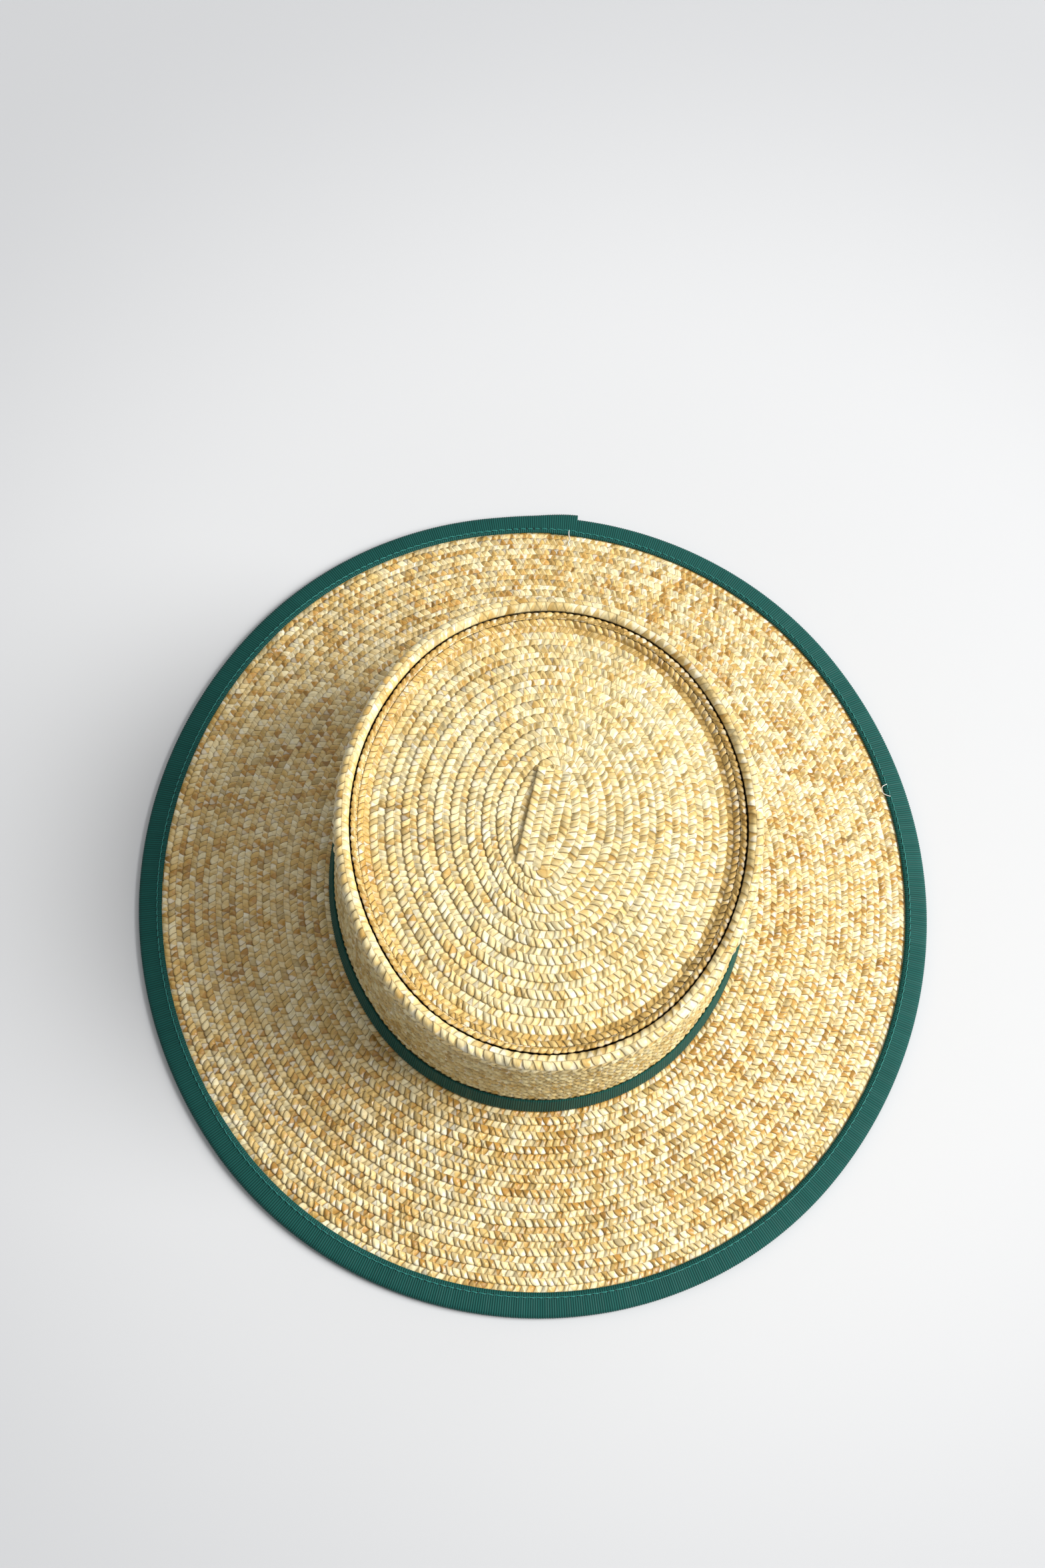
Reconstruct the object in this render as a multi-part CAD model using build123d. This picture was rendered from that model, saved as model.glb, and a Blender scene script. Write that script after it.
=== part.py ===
from build123d import *
import os
from math import atan2, cos, degrees, hypot, radians, sin, tan

# A sewn straw-plait hat with a wide, gently dropping brim and a flat crown whose tip is sunk in its rim.
# Millimetres. +Z is up and +Y is the back of the hat. The hat stands on the lowest ring of its brim
# binding at z = 0, and the origin is under the middle of the oval.
#
# Every piece that goes round the hat is a section carried round one oval of four arcs. A section is
# drawn in (u, z), where u is the radius from the centre of the oval's front or back arc.

# The oval
crown_half_width = 88.2  # outer face of the crown where it meets the brim
lengthening = 12.5  # how much further the oval reaches to the front and back than to the sides
end_centre = 19.0  # distance of the front and back arcs' centres from the middle

# Straw
straw_thickness = 2.4  # two plies of plait, each row lapped half over the next
plait_ply = 1.2
plait_width = 13.5
row_step = 0.45  # how far each row's edge stands up from the next row out
brim_row = 5.9  # visible width of a row
side_row = 5.9
tip_row = 6.49

# Brim
brim_length = 81.7  # from the crown's face to the straw's edge, down the slope
brim_slope = 12.5

# Crown
crown_height = 73.8  # from the brim at the crown's face to the top of the rim
foot_margin = 0.15  # how far the crown's plain foot rises over the hatband
foot_flare = 1.9  # how far the foot leans out
side_taper = 1.3  # how far the side above it leans in
rim_overhang = 1.2  # how far the rim stands out over the side
rim_hollow = 0.5  # inner radius of the rim's round
rim_skirt = 4.0  # height of the rim's upright face, under its round
rim_turn = 145.0  # angle that the rim's round sweeps before it runs down inside
groove_depth = 2.6  # from the top of the rim to the flat strand inside it
strand_width = 3.0
groove_flank = 5.0  # run of the slope from the strand down to the plate
groove_fall = 3.0  # fall of that slope
plate_dome = 6.6
strip_length = 41.0  # straight length of plait that the rows start round
strip_turn = -10.0
strip_shift = -2.5  # to the wearer's left

# Binding, with its wire
ribbon = 0.6
binding_cover = 7.9  # how far the binding reaches over the straw, above and below
binding_gap = 0.1
binding_squash = 0.15  # how much the hat's weight flattens the binding's lowest line
binding_lap_angle = 86.0  # where the lap starts, as a direction from the back arc's centre
binding_lap_foot = 0.4  # the lapped end stops this far above the rest plane
wire_diameter = 1.2
wire_clearance = 0.15  # between the straw's edge and the wire's sleeve
wire_ends_gap = 0.6
joiner_length = 14.0
joiner_wall = 0.28
joiner_clearance = 0.02

# Hatband and sweatband
hatband_height = 10.0
hatband_thickness = 0.7
hatband_gap = 0.1
hatband_rise = 0.35  # from the brim to the hatband's lower edge
hatband_lap_angle = 110.0
sweatband_height = 28.0
sweatband_thickness = 0.9
sweatband_gap = 0.15
sweatband_lap_angle = 84.0
lap_length = 12.0  # how far each ribbon's end lies over its start

# Thread
thread = 0.35
thread_gap = 0.03
binding_seam = 2.0  # from the binding's inner edge to its stitches
sweatband_seam = 3.0  # from the sweatband's lower edge to its stitches
tack_height = 2.0
tack_count = 3

# The oval's other values follow from the three above
side_centre = lengthening * (2 * end_centre - lengthening) / (2 * (end_centre - lengthening))
arc_gap = hypot(side_centre, end_centre)  # how much longer the side arcs' radius is
side_half_angle = degrees(atan2(end_centre, side_centre))
crown_u = crown_half_width + lengthening - end_centre


def arc_of(section, centre_x, centre_y, start, sweep, extra=0.0):
    """Carry a section along one arc about an upright axis, from a direction and through a sweep."""
    upright = Plane.XZ * Pos(extra, 0) * section
    return Pos(centre_x, centre_y, 0) * Rot(0, 0, start) * revolve(upright, Axis.Z, revolution_arc=sweep)


def back_arc(section, start, sweep):
    """Carry a section along part of the back arc."""
    return arc_of(section, 0, end_centre, start, sweep)


def around(section):
    """Carry a section all the way round the oval."""
    end_sweep = 180 - 2 * side_half_angle
    side_sweep = 2 * side_half_angle
    right = arc_of(section, -side_centre, 0, -side_half_angle, side_sweep, arc_gap)
    left = arc_of(section, side_centre, 0, 180 - side_half_angle, side_sweep, arc_gap)
    front = arc_of(section, 0, -end_centre, 180 + side_half_angle, end_sweep)
    return right + back_arc(section, side_half_angle, end_sweep) + left + front


def oval_plate(u, bottom, top):
    """A flat plate of the oval's shape."""
    half_angle = radians(side_half_angle)
    corner_x, corner_y = u * cos(half_angle), end_centre + u * sin(half_angle)
    back = ThreePointArc((corner_x, corner_y), (0, end_centre + u), (-corner_x, corner_y))
    left = ThreePointArc((-corner_x, corner_y), (side_centre - arc_gap - u, 0), (-corner_x, -corner_y))
    front = ThreePointArc((-corner_x, -corner_y), (0, -end_centre - u), (corner_x, -corner_y))
    right = ThreePointArc((corner_x, -corner_y), (arc_gap + u - side_centre, 0), (corner_x, corner_y))
    return Pos(0, 0, bottom) * extrude(make_face([back, left, front, right]), top - bottom)


def closed(points):
    """A section with straight sides."""
    return make_face(Polyline(*points, close=True))


def line_frame(start, end):
    """Length and direction of a section's line, and the normal to its left."""
    length = hypot(end[0] - start[0], end[1] - start[1])
    along = ((end[0] - start[0]) / length, (end[1] - start[1]) / length)
    return length, along, (-along[1], along[0])


def beside(start, end, distance, height):
    """The point that far along a section's line, and that far out from it."""
    _, along, normal = line_frame(start, end)
    return (
        start[0] + along[0] * distance + normal[0] * height,
        start[1] + along[1] * distance + normal[1] * height,
    )


def band(start, end, near, far, low, high):
    """A flat strip beside a section's line: from near to far along it, and from low to high off it."""
    corners = ((near, low), (far, low), (far, high), (near, high))
    return closed([beside(start, end, distance, height) for distance, height in corners])


def rows_of(start, end, row):
    """How many rows of plait fit a line, and their exact pitch."""
    length = line_frame(start, end)[0]
    count = max(1, round(length / row))
    return count, length / count


def lapped_rows(start, end, row):
    """The outer and inner faces of rows of plait, each lying over the next one along."""
    count, pitch = rows_of(start, end, row)
    outer, inner = [], []
    for k in range(count):
        near, far = k * pitch, (k + 1) * pitch
        outer += [beside(start, end, near, -row_step), beside(start, end, far, 0)]
        inner += [
            beside(start, end, near, -straw_thickness),
            beside(start, end, far, row_step - straw_thickness),
        ]
    return outer, inner


def row_seams(start, end, row):
    """The sewing thread of each row, as a section in the middle of the row's inner face."""
    count, pitch = rows_of(start, end, row)
    face = row_step / 2 - straw_thickness - thread_gap
    sections = []
    for k in range(count):
        middle = (k + 0.5) * pitch
        sections.append(band(start, end, middle - thread / 2, middle + thread / 2, face - thread, face))
    return sections


def lap_sweep(u):
    """The angle that a ribbon's lap takes up at a radius."""
    return degrees(lap_length / u)


def seam_over_lap(section, raised, lap_start, u):
    """A line of stitches that goes round a ribbon and climbs onto its lap."""
    sweep = lap_sweep(u)
    margin = degrees(2 * thread / u)
    ring = around(section) - back_arc(raised_box(section), lap_start - margin, sweep + 2 * margin)
    return ring.solids() + back_arc(raised, lap_start + margin, sweep - 2 * margin).solids()


def raised_box(section):
    """A box section that holds a thread's section with room to spare."""
    box = section.bounding_box()
    size = box.size
    return Pos(box.center().X, box.center().Y) * Rectangle(size.X + 1, size.Y + 1)


# Brim: s runs down the slope from the crown's face, n stands square to it from the top face
slope = radians(brim_slope)
cavity_radius = straw_thickness / 2 + binding_gap
fold_radius = cavity_radius + ribbon
joiner_inner = wire_diameter / 2 + joiner_clearance
joiner_outer = joiner_inner + joiner_wall
wire_offset = joiner_outer + wire_clearance  # from the straw's edge to the middle of the wire
fold_s = brim_length + wire_offset + joiner_outer + binding_gap - cavity_radius
mid_n = -straw_thickness / 2
brim_z = fold_radius - binding_squash + fold_s * sin(slope) - mid_n * cos(slope)


def on_brim(s, n):
    return (crown_u + s * cos(slope) + n * sin(slope), brim_z - s * sin(slope) + n * cos(slope))


def slope_section(section):
    """Place a section that is drawn in (s, n)."""
    return Pos(crown_u, brim_z) * Rot(0, 0, -brim_slope) * section


def s_box(s_low, s_high, n_low, n_high):
    return Pos((s_low + s_high) / 2, (n_low + n_high) / 2) * Rectangle(s_high - s_low, n_high - n_low)


crown_face = on_brim(0, 0)
brim_inner_s = -straw_thickness / cos(slope)
brim_inner_top = on_brim(brim_inner_s, 0)
brim_inner_bottom = (brim_inner_top[0], on_brim(0, -straw_thickness)[1])
bound_s = brim_length - binding_cover
bound_edge = on_brim(bound_s, 0)
brim_outer, brim_under = lapped_rows(crown_face, bound_edge, brim_row)
brim_rim = [on_brim(brim_length, 0), on_brim(brim_length, -straw_thickness), on_brim(bound_s, -straw_thickness)]
brim = around(closed([brim_inner_top, crown_face] + brim_outer + brim_rim + brim_under[::-1] + [brim_inner_bottom]))

# Crown side, with its foot behind the hatband, and the rim that stands on it
foot_height = hatband_rise + hatband_height + foot_margin
foot_top = (crown_u - foot_flare, brim_z + foot_height)
rim_top = brim_z + crown_height
rim_radius = straw_thickness + rim_hollow
rim_z = rim_top - rim_radius
side_top = (foot_top[0] - side_taper, rim_z - rim_skirt)
rim_face = side_top[0] + rim_overhang
rim_u = rim_face - rim_radius
flank_run = tan(radians(180 - rim_turn))  # run of the rim's inner flank for each unit of drop


def on_rim(radius):
    """Where the rim's round ends and its inner flank starts."""
    return (rim_u + radius * cos(radians(rim_turn)), rim_z + radius * sin(radians(rim_turn)))


groove_z = rim_top - groove_depth
flank_top, flank_under = on_rim(rim_radius), on_rim(rim_hollow)
groove_u = flank_top[0] - (flank_top[1] - groove_z) * flank_run
groove_under = flank_under[1] - (flank_under[0] - groove_u) / flank_run

side_outer, side_inner = lapped_rows(side_top, foot_top, side_row)
foot_inner = (foot_top[0] - straw_thickness, foot_top[1])
side_points = [crown_face] + side_outer[::-1] + side_inner + [foot_inner, brim_inner_top]
crown_side = around(closed(side_points))

rim_inner_foot = (side_top[0] - straw_thickness, side_top[1])
rim_hollow_start = (rim_u + rim_hollow, rim_z)
rim_round = CenterArc((rim_u, rim_z), rim_radius, 0, rim_turn)
rim_flank = Polyline(flank_top, (groove_u, groove_z), (groove_u, groove_under), flank_under)
rim_inside = CenterArc((rim_u, rim_z), rim_hollow, 0, rim_turn)
rim_skirt_line = Polyline(rim_hollow_start, rim_inner_foot, (rim_face, side_top[1]), (rim_face, rim_z))
crown_rim = around(make_face([rim_round, rim_flank, rim_inside, rim_skirt_line]))

# Crown tip: the strand inside the rim, the slope down to the plate, the plate's rows and its flat middle
strand_u = groove_u - strand_width
plate_u, plate_z = strand_u - groove_flank, groove_z - groove_fall
tip_rows = int((plate_u - tip_row) / tip_row)
middle_u, middle_z = plate_u - tip_rows * tip_row, plate_z + plate_dome
plate_middle, plate_edge = (middle_u, middle_z), (plate_u, plate_z)
tip_outer, tip_under = lapped_rows(plate_middle, plate_edge, tip_row)
groove_points = [(strand_u, groove_z), (groove_u, groove_z)]
groove_points += [(groove_u, groove_z - straw_thickness), (strand_u, groove_z - straw_thickness)]
crown_tip = around(closed(tip_outer + groove_points + tip_under[::-1]))
crown_tip += oval_plate(middle_u, middle_z - straw_thickness, middle_z)
crown_tip += oval_plate(middle_u - tip_row, middle_z, middle_z + row_step)
strip_z = middle_z + row_step + plait_ply / 2
start_strip = Pos(strip_shift, 0, strip_z) * Rot(0, 0, strip_turn) * Box(plait_width, strip_length, plait_ply)

# Rows' sewing thread, on the under face of the brim and inside the crown above the sweatband
brim_stitching = [around(seam) for seam in row_seams(crown_face, bound_edge, brim_row)]
sweatband_top = brim_z + sweatband_height
side_seams = row_seams(side_top, foot_top, side_row)
side_seams = [seam for seam in side_seams if seam.bounding_box().min.Y > sweatband_top + thread]
crown_stitching = [around(seam) for seam in side_seams + row_seams(plate_middle, plate_edge, tip_row)]

# Brim wire, butted at the back in a crimped sleeve
wire_s = brim_length + wire_offset
wire_u = on_brim(wire_s, mid_n)[0]
binding_lap_sweep = lap_sweep(wire_u)
joint_angle = binding_lap_angle + binding_lap_sweep / 2
ends_sweep = degrees(wire_ends_gap / wire_u)
joiner_sweep = degrees(joiner_length / wire_u)
wire_section = slope_section(Pos(wire_s, mid_n) * Circle(wire_diameter / 2))
brim_wire = around(wire_section)
brim_wire -= back_arc(raised_box(wire_section), joint_angle - ends_sweep / 2, ends_sweep)
sleeve_section = slope_section(Pos(wire_s, mid_n) * (Circle(joiner_outer) - Circle(joiner_inner)))
wire_joiner = back_arc(sleeve_section, joint_angle - joiner_sweep / 2, joiner_sweep)


# Binding: a ribbon folded over the straw's edge, with its end lapped over its start
def folded(radius, low_n, high_n):
    """The shape inside a fold about the wire: flat over the straw, round at the edge."""
    return s_box(bound_s, fold_s, low_n, high_n) + Pos(fold_s, mid_n) * Circle(radius)


def below(z):
    """Everything under a height, near the brim's edge."""
    reach = 4 * binding_cover
    return Pos(on_brim(fold_s, 0)[0], z - reach / 2) * Rectangle(2 * reach, reach)


fold_outer = folded(fold_radius, mid_n - fold_radius, mid_n + fold_radius)
fold_inner = folded(cavity_radius, mid_n - cavity_radius, mid_n + cavity_radius)
binding_section = slope_section(fold_outer - fold_inner) - below(0)
lap_radius = fold_radius + ribbon
lap_outer = folded(lap_radius, mid_n, mid_n + lap_radius)
lap_section = lap_outer - fold_outer - s_box(bound_s, fold_s, mid_n - lap_radius, mid_n)
lap_section = slope_section(lap_section) - below(binding_lap_foot)
brim_binding = around(binding_section) + back_arc(lap_section, binding_lap_angle, binding_lap_sweep)

# Binding's thread: needle thread on top, bobbin thread below
seam_s = bound_s + binding_seam
seam_near, seam_far = seam_s - thread / 2, seam_s + thread / 2
seam_n = binding_gap + ribbon + thread_gap
top_seam = slope_section(s_box(seam_near, seam_far, seam_n, seam_n + thread))
lap_seam = slope_section(s_box(seam_near, seam_far, seam_n + ribbon, seam_n + ribbon + thread))
under_n = -straw_thickness - seam_n
under_seam = slope_section(s_box(seam_near, seam_far, under_n - thread, under_n))
binding_thread = seam_over_lap(top_seam, lap_seam, binding_lap_angle, wire_u) + around(under_seam).solids()

# Hatband round the crown's foot, lapped at the back and tacked down there
band_low, band_high = hatband_rise, hatband_rise + hatband_height
band_in, band_out = -hatband_gap - hatband_thickness, -hatband_gap
hatband_section = band(crown_face, foot_top, band_low, band_high, band_in, band_out)
hatband_lap = band(crown_face, foot_top, band_low, band_high, band_in - hatband_thickness, band_in)
hatband_sweep = lap_sweep(crown_u)
hatband = around(hatband_section) + back_arc(hatband_lap, hatband_lap_angle, hatband_sweep)
tack_out = band_in - hatband_thickness - thread_gap
tack_pitch = hatband_height / tack_count
tack_sweep = degrees(thread / crown_u)
hatband_tacks = []
for k in range(tack_count):
    low = band_low + (k + 0.5) * tack_pitch - tack_height / 2
    tack = band(crown_face, foot_top, low, low + tack_height, tack_out - thread, tack_out)
    hatband_tacks.append(back_arc(tack, hatband_lap_angle + 3 * tack_sweep, tack_sweep))


# Sweatband inside the head opening, following the crown's foot and side
def side_inner_u(z):
    """Innermost face of the crown's straw at a height."""
    low, high = (brim_inner_top, foot_top) if z < foot_top[1] else (foot_top, side_top)
    wall = straw_thickness if z >= foot_top[1] else 0
    start_u = low[0] - wall
    end_u = high[0] - straw_thickness
    return start_u + (end_u - start_u) * (z - low[1]) / (high[1] - low[1])


def sweat_strip(bottom, top, outer, inner):
    """A strip that follows the crown's inner face between two heights."""
    heights = [bottom] + [z for z in (brim_inner_top[1], foot_top[1]) if bottom < z < top] + [top]
    line = [(side_inner_u(max(z, brim_inner_top[1])), z) for z in heights]
    return closed([(u - outer, z) for u, z in line] + [(u - inner, z) for u, z in line[::-1]])


sweat_low = brim_inner_bottom[1]
sweat_in = sweatband_gap + sweatband_thickness
sweat_u = crown_u - straw_thickness - sweat_in
sweat_lap_in = sweat_in + sweatband_thickness
sweat_sweep = lap_sweep(sweat_u)
sweat_lap = sweat_strip(sweat_low, sweatband_top, sweat_in, sweat_lap_in)
sweatband = around(sweat_strip(sweat_low, sweatband_top, sweatband_gap, sweat_in))
sweatband += back_arc(sweat_lap, sweatband_lap_angle, sweat_sweep)
stitch_low, stitch_in = sweat_low + sweatband_seam, sweat_in + thread_gap
sweat_seam = sweat_strip(stitch_low, stitch_low + thread, stitch_in, stitch_in + thread)
stitch_in += sweatband_thickness
sweat_lap_seam = sweat_strip(stitch_low, stitch_low + thread, stitch_in, stitch_in + thread)
sweatband_thread = seam_over_lap(sweat_seam, sweat_lap_seam, sweatband_lap_angle, sweat_u)

nodes = {
    "start_strip": [start_strip],
    "crown_tip": [crown_tip],
    "crown_rim": [crown_rim],
    "crown_side": [crown_side],
    "brim": [brim],
    "brim_row_stitching": brim_stitching,
    "crown_row_stitching": crown_stitching,
    "brim_wire": [brim_wire],
    "wire_joiner": [wire_joiner],
    "brim_binding": [brim_binding],
    "binding_thread": binding_thread,
    "hatband": [hatband],
    "hatband_tacks": hatband_tacks,
    "sweatband": [sweatband],
    "sweatband_thread": sweatband_thread,
}
os.makedirs("parts", exist_ok=True)
for name, pieces in nodes.items():
    solids = [solid for piece in pieces for solid in piece.solids()]
    export_step(Compound(children=solids), f"parts/{name}.step")
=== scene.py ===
import math

import bmesh
import bpy
import numpy as np
from mathutils import Matrix, Vector


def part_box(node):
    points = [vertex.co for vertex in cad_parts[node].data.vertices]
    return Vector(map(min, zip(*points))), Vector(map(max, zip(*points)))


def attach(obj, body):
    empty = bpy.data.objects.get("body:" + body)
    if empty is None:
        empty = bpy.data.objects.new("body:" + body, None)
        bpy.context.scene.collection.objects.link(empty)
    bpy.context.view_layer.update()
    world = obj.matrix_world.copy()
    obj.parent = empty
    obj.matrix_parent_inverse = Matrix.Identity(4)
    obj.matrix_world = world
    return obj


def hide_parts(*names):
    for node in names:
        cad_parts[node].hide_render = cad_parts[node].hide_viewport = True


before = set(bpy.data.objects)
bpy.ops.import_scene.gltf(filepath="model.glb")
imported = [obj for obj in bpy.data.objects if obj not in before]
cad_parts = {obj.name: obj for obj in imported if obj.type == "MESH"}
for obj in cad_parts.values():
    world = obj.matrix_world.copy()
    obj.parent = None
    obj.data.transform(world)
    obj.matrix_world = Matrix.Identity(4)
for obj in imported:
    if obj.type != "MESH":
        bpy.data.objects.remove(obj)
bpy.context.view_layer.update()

# The looks of a sewn straw-plait hat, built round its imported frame.
#
# Metres. +Z is up and +Y is the back of the hat. Everything that goes round the hat follows one oval
# of four arcs: u is the distance out from the middle of its front or back arc, as in the frame.

MM = 0.001

# The oval
END_CENTRE = 19.0 * MM  # from the middle to the centres of the front and back arcs

# Straw
STRAW = 2.4 * MM  # two plies
RELIEF = 0.6 * MM  # height of a splint's crown over the creases round it
TILT = -0.65 * MM  # how far each splint dips towards the one it goes under
ROLL = 0.45 * MM  # how far a splint may lean to one side
SLIT = 0.5 * MM  # depth of the slits between splints at a row's edge
BEAD = 0.42 * MM  # how far each splint bulges out of a row's edge
WANDER = 0.24  # how far the creases stray, in pitches
CELL = 2.9 * MM  # pitch of the splints along a row
RIM_CELL = 3.9 * MM
SLANT = 0.45  # splints lean this many pitches over one lane
PRESS_RAMP = 0.8 * MM  # the splints flatten over this length where a ribbon presses on them
TOSS_SEED, STRAY_SEED = 500, 900  # the row's number is added
BRIM_ROWS = 13
SIDE_ROWS = 11
TIP_ROWS = 10
RIM_NUMBER, FLANK_NUMBER, SIDE_NUMBER, STRAND_NUMBER, BRIM_NUMBER = 15, 20, 40, 45, 60  # first row's

# The hat's profile
SLOPE = math.radians(12.5)  # brim
FOOT_HEIGHT = 10.5 * MM
FOOT_FLARE = 1.9 * MM
RIM_RADIUS = 2.9 * MM
RIM_TURN = 145.0
RIM_OVERHANG = 1.2 * MM
GROOVE_DEPTH = 2.6 * MM  # from the rim's top to the strand inside it
STRAND_WIDTH = 3.0 * MM
GROOVE_FLANK = 5.0 * MM
GROOVE_GAP = 0.7 * MM  # open crease between the strand and the rim, right through the crown
FLANK_GAP = 0.3 * MM  # crease between the flank and the strand
GROOVE_FALL = 3.0 * MM  # from the strand down to the plate's edge
FORWARD = 5.3 * MM  # how far the crown's top leans out at the front
PAD = 0.45 * MM  # the start strip lies this far above the tip's middle

# Ribbons
RIBBON = 0.6 * MM
BINDING_COVER = 7.9 * MM
WIRE_ROOM = 1.3 * MM  # inner radius of the binding's fold
BINDING_LAP_ANGLE = 86.0
HATBAND_LAP_ANGLE = 110.0
SWEATBAND_LAP_ANGLE = 84.0
LAP = 12.0 * MM
HATBAND_HEIGHT = 10.0 * MM
HATBAND = 0.7 * MM
HATBAND_RISE = 0.35 * MM  # from the brim to its lower edge
SWEATBAND = 0.9 * MM
CORNER = 22.0 * MM  # length of the binding's cut corner that stands proud
LAP_RAMP = 26.0 * MM  # a ribbon starts to rise this far before its lap
RIB = 1.0 * MM  # pitch of the ribs
RIB_RELIEF = 0.26 * MM

# Thread
THREAD = 0.42 * MM
STITCH = 3.3 * MM
SEAM = 2.0 * MM  # from the binding's inner edge to its stitches
ROW_THREAD = 0.5 * MM
ROW_STITCH = 5.0 * MM
THREAD_SIDES = 5


# ---- The oval --------------------------------------------------------------------------------------

def reach(node):
    """How far out a node goes, as u."""
    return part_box(node)[1].y - END_CENTRE


straw_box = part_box("brim")
half_difference = straw_box[1].y - straw_box[1].x
side_centre = half_difference * (2 * END_CENTRE - half_difference) / (2 * (END_CENTRE - half_difference))
arc_gap = math.hypot(side_centre, END_CENTRE)
side_angle = math.atan2(END_CENTRE, side_centre)


def girth(u):
    """Length once round the oval."""
    return 2 * math.pi * u + 4 * side_angle * arc_gap


def direction_at(share, u):
    """The direction of the point that is this share of the way round, from +X."""
    end_angle = math.pi - 2 * side_angle
    long = u + arc_gap
    start = np.mod(share, 1.0) * girth(u)
    first = side_angle * long
    second = first + end_angle * u
    third = second + 2 * side_angle * long
    fourth = third + end_angle * u
    direction = np.where(start < first, start / long, side_angle + (start - first) / u)
    direction = np.where(start < second, direction, math.pi - side_angle + (start - second) / long)
    direction = np.where(start < third, direction, math.pi + side_angle + (start - third) / u)
    direction = np.where(start < fourth, direction, 2 * math.pi - side_angle + (start - fourth) / long)
    return direction + 2 * math.pi * np.floor(share)


def share_at(degrees, u):
    """The share of the way round of a direction, the other way about."""
    shares = np.linspace(0, 1, 3601)
    return float(np.interp(math.radians(degrees % 360), direction_at(shares[:-1], u), shares[:-1]))


def on_oval(u, direction):
    """The point on the oval in a direction."""
    cosine, sine = np.cos(direction), np.sin(direction)
    side = np.abs(sine) < math.sin(side_angle)
    x = np.where(side, -np.sign(cosine) * side_centre, 0) + (u + np.where(side, arc_gap, 0)) * cosine
    y = np.where(side, 0, np.sign(sine) * END_CENTRE) + (u + np.where(side, arc_gap, 0)) * sine
    return x, y


def turned(x, y, angle):
    """A point turned round the middle."""
    return x * np.cos(angle) - y * np.sin(angle), x * np.sin(angle) + y * np.cos(angle)


def eased(share):
    """0 up to 0, 1 from 1 on, smooth between."""
    share = np.clip(share, 0, 1)
    return share * share * (3 - 2 * share)


# ---- The profile -----------------------------------------------------------------------------------

class Course:
    """A line down the hat's section, as points (u, z), that rows and ribbons follow."""

    spill = 30 * MM  # the line runs on straight past both ends

    def __init__(self, points):
        line = np.array(points, float)
        steps = np.linalg.norm(np.diff(line, axis=0), axis=1)
        self.length = steps.sum()
        before = line[0] - (line[1] - line[0]) / steps[0] * self.spill
        after = line[-1] + (line[-1] - line[-2]) / steps[-1] * self.spill
        self.line = np.vstack([before, line, after])
        self.marks = np.concatenate([[-self.spill, 0], np.cumsum(steps), [self.length + self.spill]])

    def on(self, distance):
        u, z = self.line.T
        return np.interp(distance, self.marks, u), np.interp(distance, self.marks, z)

    def at(self, distance, height):
        """The point that far along, and that high off the line's outer side."""
        near_u, near_z = self.on(distance - 0.3 * MM)
        far_u, far_z = self.on(distance + 0.3 * MM)
        length = np.hypot(far_u - near_u, far_z - near_z)
        u, z = self.on(distance)
        return u - height * (far_z - near_z) / length, z + height * (far_u - near_u) / length


crown_u = reach("crown_side")
brim_length = (reach("brim") - crown_u) / math.cos(SLOPE)
brim_z = straw_box[1].z - STRAW * math.tan(SLOPE)


def on_brim(s, n=0.0):
    """s runs down the brim's slope from the crown, n stands square to its top face."""
    u = crown_u + s * math.cos(SLOPE) + n * math.sin(SLOPE)
    return u, brim_z - s * math.sin(SLOPE) + n * math.cos(SLOPE)


def leaning(y, z):
    """The crown leans forward above its foot, most at the top of its front."""
    rise = np.clip((z - foot_top[1]) / (rim_z - foot_top[1]), 0, 1)
    return y - FORWARD * rise * np.clip(-y / front_y, 0, 1) ** 1.5


def arc(centre, radius, start, sweep, steps):
    """Points along an arc, from an angle in degrees on through its sweep."""
    angles = np.radians(start + sweep * np.linspace(0, 1, steps + 1))
    return [(centre[0] + radius * math.cos(a), centre[1] + radius * math.sin(a)) for a in angles]


rim_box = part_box("crown_rim")
rim_u, rim_z = reach("crown_rim") - RIM_RADIUS, rim_box[1].z - RIM_RADIUS
groove_u, groove_z = reach("crown_tip"), rim_box[1].z - GROOVE_DEPTH
strand_u = groove_u - STRAND_WIDTH
plate_u, plate_z = strand_u - GROOVE_FLANK, groove_z - GROOVE_FALL
middle_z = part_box("start_strip")[0].z - PAD
side_top = (reach("crown_rim") - RIM_OVERHANG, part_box("crown_side")[1].z)
foot_top = (crown_u - FOOT_FLARE, brim_z + FOOT_HEIGHT)
front_y = crown_u + END_CENTRE
bound_s = brim_length - BINDING_COVER

tip_course = Course([
    (0.5 * MM, middle_z + PAD), (9 * MM, middle_z), (0.42 * plate_u, middle_z - 1.3 * MM),
    (0.72 * plate_u, middle_z - 3.3 * MM), (plate_u, plate_z)])
flank_course = Course([(plate_u, plate_z), (plate_u + 1.2 * MM, plate_z), (strand_u, groove_z - 0.9 * MM)])
strand_course = Course([(strand_u + 0.6 * MM, groove_z), (groove_u, groove_z)])
rim_line = arc((rim_u, rim_z), RIM_RADIUS, RIM_TURN, -RIM_TURN, 16)
rim_course = Course([(groove_u, groove_z)] + rim_line + [(rim_u + RIM_RADIUS, side_top[1])])
side_course = Course([side_top, foot_top, on_brim(0)])
brim_course = Course([on_brim(0), on_brim(bound_s + 3 * MM)])


# ---- Grids bent into shape -------------------------------------------------------------------------

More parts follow.
